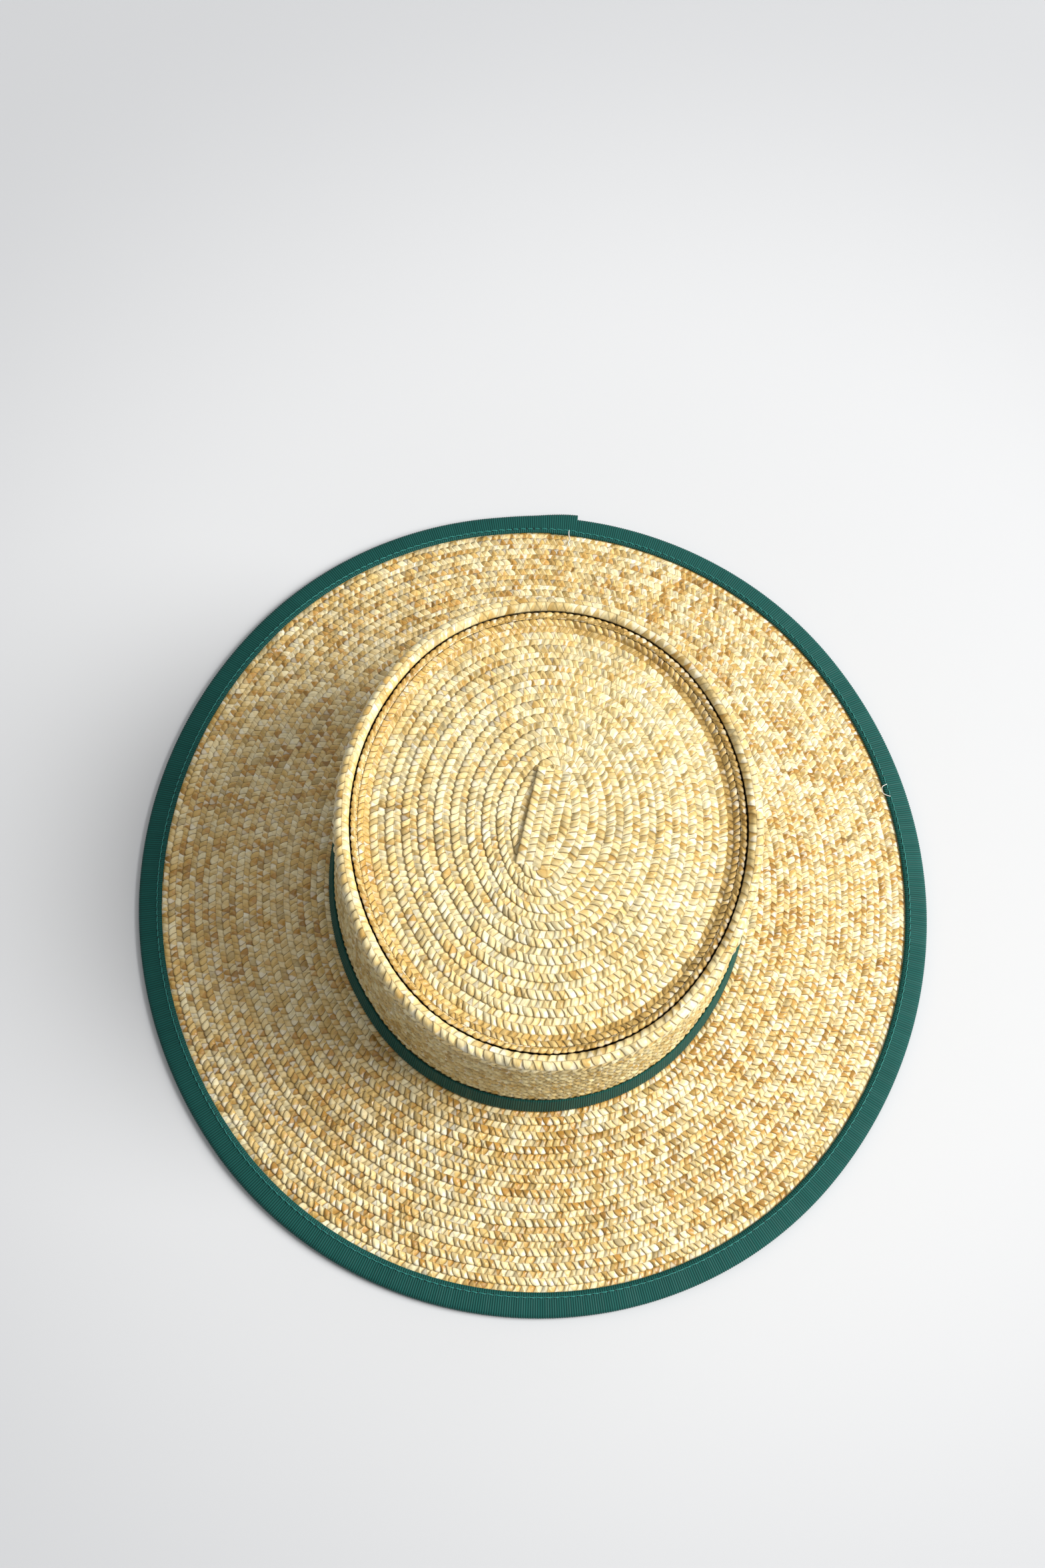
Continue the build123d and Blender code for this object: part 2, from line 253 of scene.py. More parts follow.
def bent_grid(columns, sections, place, closed):
    """A flat grid whose crossings are moved to place(column, section), which also gives their pattern
    coordinates. Sides that meet are welded. A grid that isn't closed on itself has its open ends filled."""
    cloth = bmesh.new()
    bmesh.ops.create_grid(cloth, x_segments=columns, y_segments=sections, size=0.5)
    mesh = bpy.data.meshes.new("grid")
    cloth.to_mesh(mesh)
    cloth.free()
    flat = np.empty(3 * len(mesh.vertices), np.float32)
    mesh.vertices.foreach_get("co", flat)
    column = np.rint((flat[0::3] + 0.5) * columns).astype(int)
    section = np.rint((flat[1::3] + 0.5) * sections).astype(int)
    points, pattern = place(column, section)
    mesh.vertices.foreach_set("co", np.stack(points, 1).astype(np.float32).ravel())
    corners = np.empty(len(mesh.loops), np.int32)
    mesh.loops.foreach_get("vertex_index", corners)
    layer = mesh.uv_layers.new(name="pattern")
    layer.data.foreach_set("uv", np.stack(pattern, 1)[corners].astype(np.float32).ravel())
    mesh.update()
    cloth = bmesh.new()
    cloth.from_mesh(mesh)
    bpy.data.meshes.remove(mesh)
    rims = [v for v in cloth.verts if v.is_boundary]
    bmesh.ops.remove_doubles(cloth, verts=rims, dist=0.004 * MM)
    if not closed:
        bmesh.ops.holes_fill(cloth, edges=[e for e in cloth.edges if e.is_boundary], sides=0)
    bmesh.ops.recalc_face_normals(cloth, faces=cloth.faces)
    for face in cloth.faces:
        face.smooth = len(face.verts) < 5
    return cloth


def piece(name, cloths, finish, slot, *stands_for):
    """One object from one or more bent grids."""
    whole = bmesh.new()
    for cloth in cloths:
        part = bpy.data.meshes.new("part")
        cloth.to_mesh(part)
        cloth.free()
        whole.from_mesh(part)
        bpy.data.meshes.remove(part)
    mesh = bpy.data.meshes.new(name)
    whole.to_mesh(mesh)
    whole.free()
    made = bpy.data.objects.new(name, mesh)
    bpy.context.scene.collection.objects.link(made)
    mesh.materials.append(finish)
    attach(made, "root")
    if stands_for:
        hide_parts(*stands_for)
    return made


# ---- Plait -----------------------------------------------------------------------------------------

CELL_COLUMNS = np.array([0.0, 0.12, 0.38, 0.5, 0.62, 0.88])  # closer together at the creases
LANE_STEPS = (0.0, 0.16, 0.5, 0.84)
STRIP_TURN = math.radians(-10.0)
TURN_REACH = 30 * MM
strip_shift = sum((corner.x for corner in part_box("start_strip"))) / 2


def pillow(across, along):
    """Crown of a splint: 1 in its middle and 0 at the creases round it."""
    return (1 - np.abs(2 * across) ** 2.1) * (1 - np.abs(2 * along) ** 2.1)


def row_section(lanes):
    """The closed section of a row: how far across each point is, in lanes, and which face it is on."""
    top = [lane + part for lane in range(lanes) for part in LANE_STEPS] + [lanes]
    under = [lanes] + [lanes - lane - 0.5 for lane in range(lanes)] + [0]
    across = [-0.3] + top + [lanes] + under + [0.0, -0.3]
    face = [0] + [1] * len(top) + [2] + [3] * len(under) + [4, 0]
    return np.array(across, float), np.array(face)


def plait_row(course, near, width, lanes, number, edge, cell=CELL, tuck=0.25 * MM, pressed_from=math.inf):
    """One closed row of plait: its edge away from the middle stands this far over the next row. From
    pressed_from on, along the course, a ribbon holds it flat."""
    cells = max(8, round(girth(float(course.on(near + width / 2)[0])) / cell))
    row_across, row_face = row_section(lanes)
    tall = {0: -edge - tuck, 2: -0.5 * edge, 4: -STRAW + 0.5 * edge}
    tossed = np.random.default_rng(TOSS_SEED + number).random((5, lanes, cells))
    strays = WANDER * (np.random.default_rng(STRAY_SEED + number).random((lanes, cells)) - 0.5) * 2

    def place(column, section):
        cell_number, part = np.divmod(column, len(CELL_COLUMNS))
        run = cell_number + CELL_COLUMNS[part]
        across, face = row_across[section], row_face[section]
        lane = np.clip(np.floor(across), 0, lanes - 1).astype(int)
        odd = np.mod(lane, 2)
        off = np.clip(across - lane - 0.5, -0.5, 0.5)
        step = run + 0.5 * odd
        splint = np.floor(step).astype(int)
        along = step - splint - 0.5
        fat, dip, lean_to, bulge, wave = tossed[:, lane, splint % cells]
        inside = 1 - np.abs(2 * off) ** 3
        stray = strays[lane, (splint + (along > 0)) % cells] * np.abs(2 * along) * inside
        lean = SLANT * off * (1 - 2 * odd) - stray
        bump = RELIEF * (0.65 + 0.7 * fat) * pillow(off, along) + TILT * (0.4 + 1.2 * dip) * along * inside
        bump = bump + ROLL * (lean_to - 0.5) * off * inside * (1 - np.abs(2 * along) ** 3)
        near_edge = np.clip((across - lanes + 0.9) / 0.9, 0, 1)
        bump = bump - SLIT * np.abs(2 * along) ** 6 * near_edge * (face == 1)
        bump = bump * np.clip((pressed_from - near - width * across / lanes) / PRESS_RAMP, 0, 1)
        bead = (1 - np.abs(2 * along) ** 2.2) * (0.6 + 0.8 * bulge)
        rise = edge * (across / lanes)
        height = np.select([face == 1, face == 3], [rise - edge + bump, rise - STRAW - bump])
        for kind, value in tall.items():
            height = np.where(face == kind, value, height)
        distance = near + width * across / lanes
        between = (across > 0) & (across < lanes) & (off == -0.5)
        distance = distance + np.where(between, 0.5 * MM * (wave - 0.5), 0)
        distance = distance + np.where((across == lanes) & (face <= 2), BEAD * bead, 0)
        distance = distance - np.where((across == 0) & (face >= 3), BEAD * bead, 0)
        share = (run - lean) / cells
        u, z = course.at(distance, height)
        direction = direction_at(share, np.maximum(course.on(near + width / 2)[0], 1 * MM))
        x, y = on_oval(u, direction)
        calm = np.clip(1 - u / TURN_REACH, 0, 1) ** 1.5
        x, y = turned(x, y, STRIP_TURN * calm)
        ply = np.where(face >= 3, 500, 0)
        return (x + strip_shift * calm, leaning(y, z), z), (run, across + 2 * lanes * number + ply)

    columns = cells * len(CELL_COLUMNS)
    return bent_grid(columns, len(row_across) - 1, place, closed=True)


def plait_rows(course, count, edge, first=0, last=None, number=0, pressed_from=math.inf):
    """Rows of plait along the whole of a course, or only some of them."""
    width = course.length / count
    chosen = range(first, count if last is None else last)
    return [plait_row(course, k * width, width, 2, number + k, edge, pressed_from=pressed_from)
            for k in chosen]


# ---- Ribbons ---------------------------------------------------------------------------------------

RIB_HEIGHTS = np.array([0.0, 1.0, 1.0])


def ribbon(course, reaches, thickness, lap_angle, middle, lift=None):
    """A ribbed ribbon laid along a course, from reaches[0] to reaches[-1], once round the oval at
    u = middle and lapped over its start. lift says how the lapped end stands off, from the distance
    along the course."""
    round_it = girth(middle)
    start_share = share_at(lap_angle, middle) + LAP / round_it
    total = 1 + LAP / round_it
    rib_count = round(total * round_it / RIB)
    inner = reaches[::-3] if (len(reaches) - 1) % 3 == 0 else reaches[[-1, len(reaches) // 2, 0]]
    across = np.concatenate([reaches, inner, reaches[:1]])
    outer = np.concatenate([np.ones(len(reaches)), np.zeros(len(inner)), [1]])
    selvage = np.isin(across, [reaches[0], reaches[-1]])

    def place(column, section):
        rib, part = np.divmod(column, len(RIB_HEIGHTS))
        run = rib + part / len(RIB_HEIGHTS)
        share = start_share - total * run / rib_count
        tall = RIB_HEIGHTS[part]
        distance, out = across[section], outer[section]
        edge = selvage[section]
        height = np.where(out == 1, thickness / 2 + RIB_RELIEF * (tall - 1), -thickness / 2)
        outward = np.where(distance == reaches[0], -1, 1)
        distance = distance + np.where(edge & (out == 1), outward * 0.10 * MM * tall, 0)
        over = eased((run / rib_count * total - 1) * round_it / LAP_RAMP + 1)
        tail = eased((run / rib_count * total - total) * round_it / CORNER + 1)
        height = height + over * (thickness + 0.05 * MM) * (1 if lift is None else lift(distance, tail))
        u, z = course.at(distance, height)
        x, y = on_oval(u, direction_at(share, middle))
        return (x, y, z), (run, distance / MM + 100 * (1 - out))

    return bent_grid(rib_count * len(RIB_HEIGHTS), len(across) - 1, place, closed=False)


# ---- Thread ----------------------------------------------------------------------------------------

STITCH_PARTS = np.array([0.0, 0.06, 0.2, 0.34, 0.48, 0.62, 0.68, 0.84])
SHOWING = 0.68  # share of a stitch that lies on the surface
LONG_PARTS = np.array([0.0, 0.1, 0.34, 0.58, 0.68, 0.84])


def seam(course, distance, height, pitch, thick=THREAD, way=1, parts=STITCH_PARTS, bump=None):
    """A row of stitches round the hat: each rises out of one needle hole and dips into the next."""
    lean = 0.25 * MM
    middle = float(course.on(distance)[0])
    stitches = round(girth(middle) / pitch)
    angles = np.radians(np.linspace(0, 360, THREAD_SIDES + 1))

    def place(column, section):
        stitch, part = np.divmod(column, len(parts))
        phase = parts[part]
        bow = np.where(phase < SHOWING, np.sin(math.pi * phase / SHOWING) ** 0.6, -1.6)
        across = distance + lean * (phase / SHOWING - 0.5) * (phase < SHOWING)
        share = (stitch + phase) / stitches
        radius = thick / 2
        base = height if bump is None else height + bump(share)
        off = way * (base + thick * 0.35 * bow + radius * np.sin(angles[section]))
        u, z = course.at(across + radius * np.cos(angles[section]), off)
        x, y = on_oval(u, direction_at(share, middle))
        return (x, leaning(y, z), z), (stitch + phase, section / THREAD_SIDES)

    return bent_grid(stitches * len(parts), THREAD_SIDES, place, closed=True)


# ---- Finishes --------------------------------------------------------------------------------------

class Term:
    """A number inside a finish, so that sums on it read as sums."""

    def __init__(self, finish, socket):
        self.finish, self.socket = finish, socket

    def __add__(self, other):
        return self.finish.sum("ADD", self, other)

    def __sub__(self, other):
        return self.finish.sum("SUBTRACT", self, other)

    def __rsub__(self, other):
        return self.finish.sum("SUBTRACT", other, self)

    def __mul__(self, other):
        return self.finish.sum("MULTIPLY", self, other)

    __radd__, __rmul__ = __add__, __mul__


class Finish:
    """A material in the making."""

    def __init__(self, name, **constants):
        self.material = bpy.data.materials.new(name)
        self.material.use_nodes = True
        self.tree = self.material.node_tree
        self.tree.nodes.clear()
        self.shader = self.node("ShaderNodeBsdfPrincipled", {}, constants)
        self.node("ShaderNodeOutputMaterial", {}, {"Surface": self.shader.outputs[0]})

    def node(self, kind, settings, sockets):
        """Any node: its settings first, then the values or links of its sockets."""
        made = self.tree.nodes.new(kind)
        for key, value in settings.items():
            if key == "stops":
                self.set_stops(made.color_ramp, value)
            else:
                setattr(made, key, value)
        for key, value in sockets.items():
            self.feed(made.inputs[key], value)
        return made

    def set_stops(self, ramp, stops):
        while len(ramp.elements) < len(stops):
            ramp.elements.new(0.5)
        for element, (position, colour) in zip(ramp.elements, stops):
            element.position = position
            element.color = (*colour, 1)

    def feed(self, socket, value):
        if isinstance(value, Term):
            self.tree.links.new(value.socket, socket)
        elif isinstance(value, bpy.types.NodeSocket):
            self.tree.links.new(value, socket)
        elif isinstance(value, tuple) and len(value) == 3 and socket.type == "RGBA":
            socket.default_value = (*value, 1)
        else:
            socket.default_value = value

    def sum(self, operation, *values):
        settings = {"operation": operation}
        return Term(self, self.node("ShaderNodeMath", settings, dict(enumerate(values))).outputs[0])

    def floor(self, value):
        return self.sum("FLOOR", value)

    def larger(self, one, other):
        return self.sum("MAXIMUM", one, other)

    def size(self, value):
        return self.sum("ABSOLUTE", value)

    def fade(self, value, low, high):
        """0 below low, 1 above high, smooth between."""
        settings = {"interpolation_type": "SMOOTHSTEP"}
        sockets = {"Value": value, "From Min": low, "From Max": high}
        return Term(self, self.node("ShaderNodeMapRange", settings, sockets).outputs[0])

    def pattern(self):
        """The piece's own two pattern coordinates."""
        both = self.node("ShaderNodeUVMap", {"uv_map": "pattern"}, {}).outputs[0]
        split = self.node("ShaderNodeSeparateXYZ", {}, {0: both})
        return Term(self, split.outputs[0]), Term(self, split.outputs[1])

    def place(self):
        return self.node("ShaderNodeTexCoord", {}, {}).outputs["Object"]

    def vector(self, x, y, z=0.0):
        return self.node("ShaderNodeCombineXYZ", {}, {0: x, 1: y, 2: z}).outputs[0]

    def dice(self, vector):
        """Three random numbers that stay the same wherever the vector does."""
        thrown = self.node("ShaderNodeTexWhiteNoise", {"noise_dimensions": "3D"}, {"Vector": vector})
        split = self.node("ShaderNodeSeparateXYZ", {}, {0: thrown.outputs["Color"]})
        return [Term(self, split.outputs[k]) for k in range(3)]

    def noise(self, vector, scale, detail=2.0, roughness=0.5):
        sockets = {"Vector": vector, "Scale": scale, "Detail": detail, "Roughness": roughness}
        return Term(self, self.node("ShaderNodeTexNoise", {}, sockets).outputs[0])

    def ramp(self, value, stops):
        return self.node("ShaderNodeValToRGB", {"stops": stops}, {0: value}).outputs[0]

    def mix(self, share, one, other, blend="MIX"):
        settings = {"data_type": "RGBA", "blend_type": blend}
        return self.node("ShaderNodeMix", settings, {0: share, 6: one, 7: other}).outputs[2]

    def bump(self, height, distance):
        sockets = {"Height": height, "Distance": distance, "Strength": 1.0}
        return self.node("ShaderNodeBump", {}, sockets).outputs[0]

    def show(self, **inputs):
        """Feeds the shader's own sockets and gives the finished material."""
        for key, value in inputs.items():
            self.feed(self.shader.inputs[key.replace("_", " ")], value)
        return self.material


def tinted(colour, share):
    """A colour with each of its parts times share."""
    return tuple(share * c for c in colour)


def straw_finish(name, pale, golden, amber, warmth, glint, spread=1.0):
    """Plait: every splint has its own tone, grain along it, and painted shade in the slits and creases
    round it.
    """
    finish = Finish(name, **{"Specular IOR Level": 0.5, "Coat Roughness": 0.18})
    run, across = finish.pattern()
    lane = finish.floor(across)
    odd = lane - finish.floor(lane * 0.5) * 2
    off = across - lane - 0.5
    step = run + odd * 0.5
    cell = finish.floor(step)
    along = step - cell - 0.5
    tone, tip, lean = finish.dice(finish.vector(cell, lane, 1.7))
    rare, other, _ = finish.dice(finish.vector(cell, lane, 5.3))
    drift = finish.noise(finish.vector(cell * 0.34, lane * 3.7), 1.0, 1.0)
    patch = finish.noise(finish.place(), 30.0, 2.0)
    shade = (drift - 0.5) * (1.5 * spread) + (tone - 0.5) * (0.75 * spread)
    # Each splint runs darker towards the end that dips under the next one: painted shade.
    shade = shade + (patch - 0.5) * 0.6 + along * 0.22 + warmth
    between = tuple(0.5 * (a + b) for a, b in zip(pale, golden))
    colour = finish.ramp(shade, [
        (0.0, pale), (0.34, between), (0.56, golden), (0.80, amber), (1.0, tinted(amber, 0.72))])
    # Each splint is folded over at one corner, which shows another tone and catches the light through its
    # tilt in the bump, and carries a painted highlight: the fold's colour runs up to near white.
    fold = finish.fade(along * (1 - odd * 2) * -1.0 + off * 0.9 + (lean - 0.5) * 0.25, 0.04, 0.26)
    folded = finish.ramp(other, [
        (0.0, tinted(golden, 0.9)), (0.35, golden), (0.55, pale), (1.0, (0.97, 0.95, 0.84))])
    colour = finish.mix(fold * 0.6, colour, folded)
    colour = finish.mix(finish.fade(rare, 0.90, 0.93) * (0.6 * spread), colour, tinted(golden, 0.62))
    streak = finish.noise(finish.vector(step * 9.0, across * 0.7, tone * 40), 1.0, 3.0, 0.6)
    grain = finish.ramp(streak, [(0.3, (0.66, 0.63, 0.56)), (0.62, (1.0, 1.0, 1.0))])
    colour = finish.mix(0.5, colour, grain, "MULTIPLY")
    # The slits and creases round each splint are painted darker: painted shade.
    slit = finish.fade(finish.size(along), 0.38, 0.49) * (0.5 + odd * 0.42)
    crease = finish.larger(slit, finish.fade(finish.size(off), 0.42, 0.5) * 0.5)
    colour = finish.mix(crease * 0.9, colour, tinted(amber, 0.2))
    rough = 0.30 + tip * 0.26 + (streak - 0.5) * 0.3
    slope = along * (lean - 0.5) * 2.2 + off * (tip - 0.5) * 2.2 + fold * (0.35 - other * 0.6)
    normal = finish.bump(slope + streak * 0.12, 0.75 * MM)
    return finish.show(Base_Color=colour, Roughness=rough, Coat_Weight=tone * glint, Normal=normal)


def ribbon_finish(name, face, valley_shade, stitch_holes=0.0, sheen=0.05):
    """Grosgrain: fine warp threads over round ribs. stitch_holes is how far in a line of them runs."""
    finish = Finish(name, **{"Sheen Weight": sheen, "Sheen Roughness": 0.4, "Specular IOR Level": 0.25})
    run, across = finish.pattern()
    rib = finish.floor(run)
    along = run - rib - 0.5
    lightness, other, _ = finish.dice(finish.vector(rib, 3.1, 0.0))
    hollow = finish.fade(finish.size(along), 0.22, 0.5)
    weave = finish.noise(finish.vector(run * 1.5, across * 9.0), 1.0, 2.0)
    cloud = finish.noise(finish.place(), 60.0, 2.0)
    # The hollows between the ribs take the darker valley colour: painted shade.
    colour = finish.mix(hollow * 0.92, face, valley_shade)
    threads = finish.ramp(weave, [(0.3, (0.45, 0.45, 0.45)), (0.7, (1, 1, 1))])
    colour = finish.mix(0.35, colour, threads, "MULTIPLY")
    worn = tuple(min(1.0, 1.5 * c + 0.01) for c in face)
    colour = finish.mix(cloud * 0.2 + lightness * 0.12, colour, worn)
    if stitch_holes:
        phase = run * (RIB / STITCH)
        hole = finish.size(phase - finish.floor(phase) - 0.5) * 3.3
        down = finish.size(across - stitch_holes) * 1.1
        # The needle holes are painted dark: painted shade in the holes.
        dark = 1 - finish.fade(hole * hole + down * down, 0.15, 0.6)
        colour = finish.mix(dark * 0.85, colour, tinted(valley_shade, 0.25))
    normal = finish.bump((1 - hollow) * 0.6 + weave * 0.25, 0.12 * MM)
    return finish.show(Base_Color=colour, Roughness=0.62 + other * 0.14, Normal=normal)


def thread_finish(name, colour, dark):
    """Twisted sewing thread."""
    finish = Finish(name, **{"Sheen Weight": 0.2})
    run, around = finish.pattern()
    twist = run * 6.0 + around
    ply = finish.size(twist - finish.floor(twist) - 0.5) * 2
    uneven = finish.noise(finish.place(), 900.0, 2.0)
    # Darker between the plies of the twist, as painted shade, and in random patches, as the thread's own
    # tone.
    mixed = finish.mix(ply * 0.6 + uneven * 0.3, colour, dark)
    return finish.show(Base_Color=mixed, Roughness=0.5 + uneven * 0.2, Normal=finish.bump(ply, 0.05 * MM))


def metal_finish(name, colour, roughness):
    """Drawn metal with fine scratches along it."""
    finish = Finish(name, Metallic=1.0)
    scratches = finish.noise(finish.place(), 1500.0, 4.0)
    dull = finish.noise(finish.place(), 120.0, 2.0)
    mixed = finish.mix(dull, colour, tinted(colour, 0.7))
    normal = finish.bump(scratches, 0.02 * MM)
    return finish.show(Base_Color=mixed, Roughness=roughness + scratches * 0.2, Normal=normal)


def table_finish():
    """The pale sheet that the hat stands on."""
    finish = Finish("table_sheet", **{"Specular IOR Level": 0.25})
    cloud = finish.noise(finish.place(), 1.3, 2.0)
    colour = finish.mix(cloud, (0.605, 0.618, 0.645), (0.625, 0.638, 0.665))
    # The sheet is painted darker away from a point near the middle: a painted falloff of the lamp light.
    ends = {0: finish.place(), 1: (0.05, 0.06, 0.0)}
    away = finish.node("ShaderNodeVectorMath", {"operation": "DISTANCE"}, ends).outputs[1]
    colour = finish.mix(finish.fade(away, 0.2, 0.46) * 0.5, colour, (0.40, 0.412, 0.44))
    return finish.show(Base_Color=colour, Roughness=0.5 + cloud * 0.1)


crown_straw = straw_finish(
    "crown_straw_plait", (0.92, 0.82, 0.52), (0.81, 0.60, 0.24), (0.66, 0.39, 0.09),
    0.40, 0.5, 0.7)
# A darker, more golden copy of the crown straw for the groove's rows: painted shade.
shaded_groove_straw = straw_finish(
    "groove_straw_plait_painted_shade", (0.78, 0.58, 0.24), (0.63, 0.39, 0.10), (0.44, 0.23, 0.04),
    0.42, 0.3, 0.4)
# A darker copy of the crown straw for the side wall: painted shade.
shaded_side_straw = straw_finish(
    "side_straw_plait_painted_shade", (0.78, 0.68, 0.38), (0.62, 0.45, 0.17), (0.46, 0.28, 0.06),
    0.46, 0.4, 0.8)
brim_straw = straw_finish(
    "brim_straw_plait", (0.92, 0.81, 0.51), (0.75, 0.52, 0.175), (0.57, 0.30, 0.05),
    0.46, 0.7)
binding_cloth = ribbon_finish(
    "binding_grosgrain", (0.0015, 0.080, 0.069), (0.0005, 0.014, 0.013), SEAM / MM)
hatband_cloth = ribbon_finish("hatband_grosgrain", (0.0015, 0.080, 0.064), (0.0005, 0.016, 0.014))
sweatband_cloth = ribbon_finish("sweatband_grosgrain", (0.62, 0.55, 0.42), (0.36, 0.30, 0.2), sheen=0.1)
green_thread = thread_finish("green_sewing_thread", (0.008, 0.27, 0.24), (0.004, 0.14, 0.125))
straw_thread = thread_finish("straw_sewing_thread", (0.70, 0.60, 0.42), (0.42, 0.33, 0.2))
white_thread = thread_finish("white_basting_thread", (0.85, 0.84, 0.80), (0.6, 0.58, 0.54))
wire_steel = metal_finish("wire_steel", (0.55, 0.56, 0.58), 0.3)
sleeve_brass = metal_finish("sleeve_brass", (0.72, 0.52, 0.22), 0.35)


# ---- The crown -------------------------------------------------------------------------------------

def start_strip():
    """The plait's straight beginning, in full width, cut square at the back."""
    low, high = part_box("start_strip")
    middle = (low + high) / 2
    thick = high.z - low.z
    # The strip's own sides, from the box of its turned outline
    box_x, box_y = high.x - low.x, high.y - low.y
    cosine, sine = math.cos(-STRIP_TURN), math.sin(-STRIP_TURN)
    width = (box_x * cosine - box_y * sine) / (cosine ** 2 - sine ** 2)
    length = (box_y * cosine - box_x * sine) / (cosine ** 2 - sine ** 2)
    lanes, cells = 4, round(length / CELL)
    parts = [lane + part for lane in range(lanes) for part in LANE_STEPS] + [lanes]
    row_across = np.array(parts + [lanes, 0, parts[0]], float)
    row_face = np.array([1] * len(parts) + [3, 3, 1])

    def place(column, section):
        cell_number, part = np.divmod(column, len(CELL_COLUMNS))
        run = cell_number + CELL_COLUMNS[part]
        across, face = row_across[section], row_face[section]
        lane = np.clip(np.floor(across), 0, lanes - 1)
        odd = np.mod(lane, 2)
        off = across - lane - 0.5
        along = np.mod(run + 0.5 * odd, 1.0) - 0.5
        inside = np.clip(np.minimum(run, cells - run) / 0.8, 0, 1)
        lean = SLANT * off * (1 - 2 * odd) * inside
        bump = RELIEF * pillow(off, along) + TILT * along * (1 - np.abs(2 * off) ** 3)
        bead = 1 - np.abs(2 * along) ** 2.2
        edge = np.where(across == 0, -1, np.where(across == lanes, 1, 0)) * (face == 1)
        x = (across / lanes - 0.5) * width + edge * 0.3 * MM * bead
        y = ((run - lean) / cells - 0.5) * length - 1.5 * MM * np.clip(1 - run / 2, 0, 1)
        dive = 1.6 * MM * np.clip(1 - run / 1.6, 0, 1) ** 2
        z = np.where(face == 1, high.z + bump * inside, high.z - 2.2 * thick) - dive
        x, y = turned(x, y, STRIP_TURN)
        return (x + middle.x, y + middle.y, z), (run, across + 900 + 300 * (face == 3))

    cloth = bent_grid(cells * len(CELL_COLUMNS), len(row_across) - 1, place, closed=False)
    return piece("start_strip_plait", [cloth], crown_straw, "crown_straw", "start_strip")


start_strip()
tip_cloths = plait_rows(tip_course, TIP_ROWS, 0.7 * MM)
piece("crown_tip_plait", tip_cloths, crown_straw, "crown_straw", "crown_tip")
flank = plait_row(flank_course, 0, flank_course.length - FLANK_GAP, 2, FLANK_NUMBER, 0.2 * MM)
strand = plait_row(strand_course, 0, strand_course.length - GROOVE_GAP, 1, STRAND_NUMBER, 0.5 * MM)
# The groove's rows take the darker straw: painted shade.
piece("crown_groove_plait", [flank, strand], shaded_groove_straw, "crown_straw", "crown_tip")
rim = plait_row(rim_course, 0, rim_course.length, 3, RIM_NUMBER, 0.3 * MM, RIM_CELL, tuck=1.8 * MM)
piece("crown_rim_plait", [rim], crown_straw, "crown_straw", "crown_rim")
for part, (first, last) in {"upper": (0, 4), "middle": (4, 8), "foot": (8, SIDE_ROWS)}.items():
    side_cloths = plait_rows(side_course, SIDE_ROWS, 0.6 * MM, first, last, SIDE_NUMBER)
    piece(f"crown_side_plait_{part}", side_cloths, shaded_side_straw, "crown_straw", "crown_side")

# ---- The brim --------------------------------------------------------------------------------------

for part, (first, last) in enumerate([(0, 3), (3, 6), (6, 9), (9, 11), (11, BRIM_ROWS)], 1):
    brim_cloths = plait_rows(brim_course, BRIM_ROWS, 0.8 * MM, first, last, BRIM_NUMBER, bound_s)
    piece(f"brim_plait_{part}", brim_cloths, brim_straw, "brim_straw", "brim")


# ---- Ribbons and thread ----------------------------------------------------------------------------

def binding():
    """The folded ribbon over the brim's edge."""
    radius = WIRE_ROOM + RIBBON / 2
    mid_n = -STRAW / 2
    fold_s = brim_length + 0.75 * MM
    top = [on_brim(bound_s, mid_n + radius)]
    fold = [on_brim(fold_s + radius * math.cos(a), mid_n + radius * math.sin(a))
            for a in np.radians(np.linspace(90, -90, 13))]
    course = Course(top + fold + [on_brim(bound_s, mid_n - radius)])
    flat = fold_s - bound_s
    turn = math.pi * radius
    reaches = np.concatenate([
        np.linspace(0, flat, 5)[:-1], np.linspace(flat, flat + turn, 7)[:-1],
        np.linspace(flat + turn, course.length, 4)])

    def lift(distance, tail):
        top_share = 1 - np.clip((distance - flat - 0.45 * turn) / (0.5 * turn), 0, 1)
        corner = 2.2 * tail * np.exp(-((distance - flat - 0.35 * turn) / (1.6 * MM)) ** 2)
        return 0.03 + (0.97 + corner) * top_share

    middle = float(course.on(flat + turn / 2)[0])
    cloth = ribbon(course, reaches, RIBBON, BINDING_LAP_ANGLE, middle, lift)
    made = piece("brim_binding_ribbon", [cloth], binding_cloth, "binding_ribbon", "brim_binding")
    long = girth(middle) + LAP

    def over_lap(share):
        """The stitches climb with the lapped end."""
        past = np.mod(share - share_at(BINDING_LAP_ANGLE, middle) + 0.5, 1) - 0.5
        return RIBBON * (past > 0) * np.clip(1 - (past * girth(middle) - LAP) / LAP_RAMP, 0, 1) ** 2

    top_seam = seam(course, SEAM, RIBBON / 2 + 0.04 * MM, STITCH, thick=0.44 * MM, bump=over_lap)
    under_seam = seam(course, course.length - SEAM, RIBBON / 2 + 0.08 * MM, STITCH)
    piece("binding_stitches", [top_seam, under_seam], green_thread, "green_thread", "binding_thread")


def hatband():
    """The narrow ribbon round the crown's foot."""
    course = Course([foot_top, on_brim(0)])
    bottom = course.length - HATBAND_RISE
    reaches = np.linspace(bottom - HATBAND_HEIGHT, bottom, 10)
    shifted = Course([(u + 0.55 * MM, z) for u, z in course.line[1:-1]])
    cloth = ribbon(shifted, reaches, HATBAND, HATBAND_LAP_ANGLE, crown_u)
    made = piece("hatband_ribbon", [cloth], hatband_cloth, "hatband_ribbon", "hatband")
    flat = (HATBAND_HEIGHT, girth(crown_u) + LAP)


